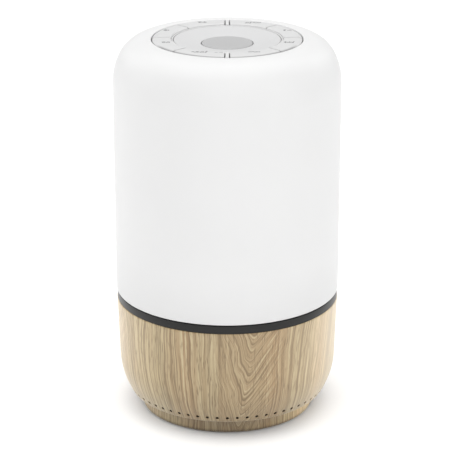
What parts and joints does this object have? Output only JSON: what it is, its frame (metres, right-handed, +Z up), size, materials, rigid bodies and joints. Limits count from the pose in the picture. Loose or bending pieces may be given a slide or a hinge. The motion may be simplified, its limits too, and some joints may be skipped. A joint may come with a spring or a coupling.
{
  "type": "smart speaker",
  "caption": "Table-top smart speaker: a light dome on a wood-print bowl base with a row of sound holes, a ring of eight press keys and a centre button on top.",
  "frame": {"origin": "middle of the underside, on the surface the speaker stands on", "axes": "+Z up, along the round body's axis; front at -Y; the power inlet is at the back, at +Y"},
  "size_m": [0.11, 0.11, 0.1882],
  "materials": {
    "diffuser": "satin translucent white, lit from inside",
    "dark_band": "satin dark grey",
    "wood_print": "satin light oak print on plastic",
    "wood_print_foot": "satin light oak print on plastic",
    "dark_plastic": "fine moulded texture",
    "rubber_pad": "matt",
    "screw_steel": "zinc plated",
    "white_board": "white solder mask",
    "green_board": "green solder mask",
    "led": "phosphor filled",
    "white_plastic": "satin",
    "panel_white": "satin",
    "key_white": "satin, softly rounded shoulders",
    "button_grey": "satin pale grey",
    "plunger_plastic": "moulded",
    "black_plastic": "moulded",
    "plated_steel": "nickel plated",
    "capacitor_can": "sleeved",
    "connector_plastic": "moulded",
    "painted_basket": "satin paint",
    "ferrite": "sintered",
    "brass_tag": "tinned",
    "spider_cloth": "resin-stiffened cloth",
    "ribbon": "flat flexible cable",
    "wire_sleeve": "insulated wire",
    "cone_paper": "pressed paper",
    "copper_wire": "enamelled wire"
  },
  "bodies": {
    "housing": {"diffuser_shell": "diffuser", "trim_ring": "dark_band", "base_shell": "wood_print", "plinth_ring": "wood_print_foot", "bottom_cover": "dark_plastic", "rubber_feet": "rubber_pad", "case_screws": "screw_steel", "speaker_baffle": "dark_plastic", "chassis_deck": "dark_plastic", "led_board": "white_board", "leds": "led", "reflector_plate": "white_plastic", "light_column": "white_plastic", "panel_housing": "white_plastic", "panel_frame": "white_plastic", "panel_disc": "panel_white", "control_pcb": "green_board", "switch_bodies": "black_plastic", "board_screws": "screw_steel", "main_pcb": "green_board", "wifi_module": "plated_steel", "chips": "black_plastic", "capacitors": "capacitor_can", "connectors": "connector_plastic", "usb_board": "green_board", "usb_socket": "plated_steel", "inlet_bezel": "dark_plastic", "speaker_basket": "painted_basket", "speaker_gasket": "rubber_pad", "speaker_front_plate": "plated_steel", "speaker_magnet": "ferrite", "speaker_yoke": "plated_steel", "speaker_terminal": "brass_tag", "speaker_screws": "screw_steel", "speaker_surround": "rubber_pad", "speaker_spider": "spider_cloth", "ribbon_cable": "ribbon", "wiring": "wire_sleeve"},
    "cone": {"speaker_cone": "cone_paper", "dust_cap": "cone_paper", "voice_coil": "copper_wire"},
    "key_1": {"key_1": "key_white", "plunger_1": "plunger_plastic"},
    "key_2": {"key_2": "key_white", "plunger_2": "plunger_plastic"},
    "key_3": {"key_3": "key_white", "plunger_3": "plunger_plastic"},
    "key_4": {"key_4": "key_white", "plunger_4": "plunger_plastic"},
    "key_5": {"key_5": "key_white", "plunger_5": "plunger_plastic"},
    "key_6": {"key_6": "key_white", "plunger_6": "plunger_plastic"},
    "key_7": {"key_7": "key_white", "plunger_7": "plunger_plastic"},
    "key_8": {"key_8": "key_white", "plunger_8": "plunger_plastic"},
    "centre_button": {"centre_button": "button_grey", "plunger_9": "plunger_plastic"}
  },
  "joints": [
    {"name": "key_1_press", "type": "slide", "parent": "housing", "child": "key_1", "axis": [0, 0, -1], "range_m": [0, 0.0008], "stiffness_N_per_m": 500},
    {"name": "key_2_press", "type": "slide", "parent": "housing", "child": "key_2", "axis": [0, 0, -1], "range_m": [0, 0.0008], "stiffness_N_per_m": 500},
    {"name": "key_3_press", "type": "slide", "parent": "housing", "child": "key_3", "axis": [0, 0, -1], "range_m": [0, 0.0008], "stiffness_N_per_m": 500},
    {"name": "key_4_press", "type": "slide", "parent": "housing", "child": "key_4", "axis": [0, 0, -1], "range_m": [0, 0.0008], "stiffness_N_per_m": 500},
    {"name": "key_5_press", "type": "slide", "parent": "housing", "child": "key_5", "axis": [0, 0, -1], "range_m": [0, 0.0008], "stiffness_N_per_m": 500},
    {"name": "key_6_press", "type": "slide", "parent": "housing", "child": "key_6", "axis": [0, 0, -1], "range_m": [0, 0.0008], "stiffness_N_per_m": 500},
    {"name": "key_7_press", "type": "slide", "parent": "housing", "child": "key_7", "axis": [0, 0, -1], "range_m": [0, 0.0008], "stiffness_N_per_m": 500},
    {"name": "key_8_press", "type": "slide", "parent": "housing", "child": "key_8", "axis": [0, 0, -1], "range_m": [0, 0.0008], "stiffness_N_per_m": 500},
    {"name": "centre_button_press", "type": "slide", "parent": "housing", "child": "centre_button", "axis": [0, 0, -1], "range_m": [0, 0.0008], "stiffness_N_per_m": 500},
    {"name": "cone_stroke", "type": "slide", "parent": "housing", "child": "cone", "axis": [0, 0, 1], "range_m": [-0.0015, 0.0015], "stiffness_N_per_m": 1500, "deforming": ["speaker_surround", "speaker_spider"]}
  ]
}
